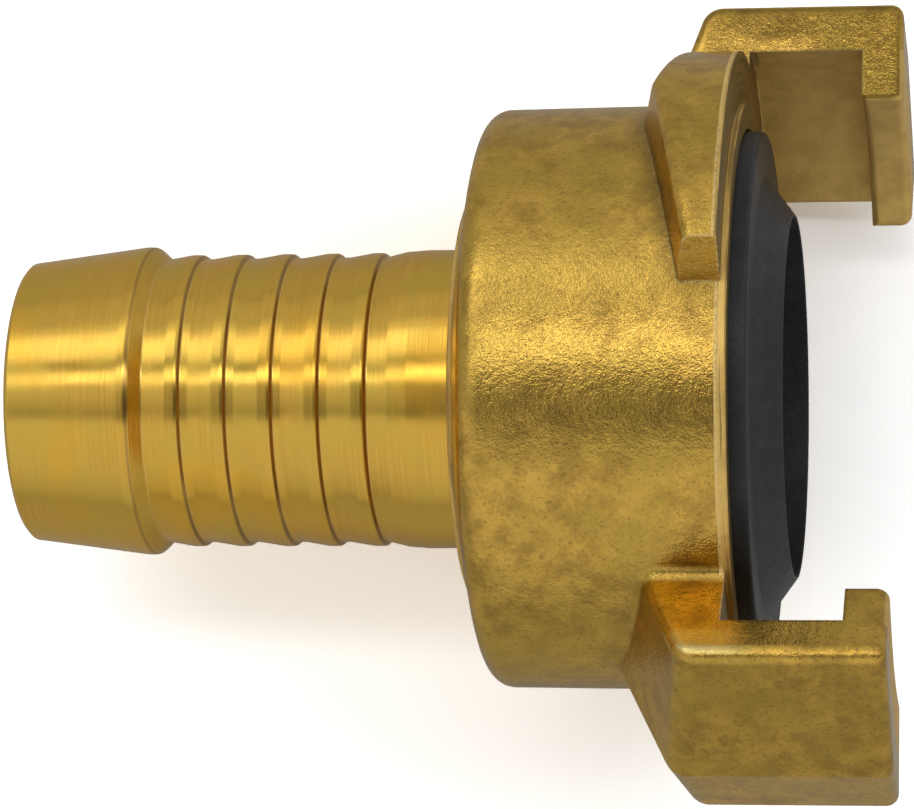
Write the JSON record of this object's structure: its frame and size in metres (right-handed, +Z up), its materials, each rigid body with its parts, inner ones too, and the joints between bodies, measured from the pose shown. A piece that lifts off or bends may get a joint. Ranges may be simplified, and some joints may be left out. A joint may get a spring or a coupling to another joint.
{
  "type": "quarter turn claw hose coupling",
  "caption": "Claw-type quick coupling half for a water hose, with hooked claws, ramped ears, a rubber face seal and a swivelling barbed tail.",
  "frame": {"origin": "centre of the coupling face, on the coupling's axis, in the front plane of the body's rim", "axes": "the coupling lies on a table: +Z is up, +X runs along the table towards the claws, under the coupling's axis, which rises 7.44 degrees towards the claws, and +Y is to the left seen along +X"},
  "size_m": [0.0606, 0.0524, 0.0423],
  "materials": {
    "forged_brass": "forged and tumbled, with turned faces at its ends and inside",
    "turned_brass": "fine turned",
    "black_rubber": "moulded, satin"
  },
  "bodies": {
    "coupling": {"claw_body": "forged_brass", "face_seal": "black_rubber"},
    "tail": {"hose_tail": "turned_brass", "swivel_o_ring": "black_rubber"}
  },
  "joints": [
    {"name": "tail_swivel", "type": "hinge", "parent": "coupling", "child": "tail", "pos_m": [-0.01071, 0, -0.0014], "axis": [0.9916, 0, 0.1295], "continuous": true}
  ]
}
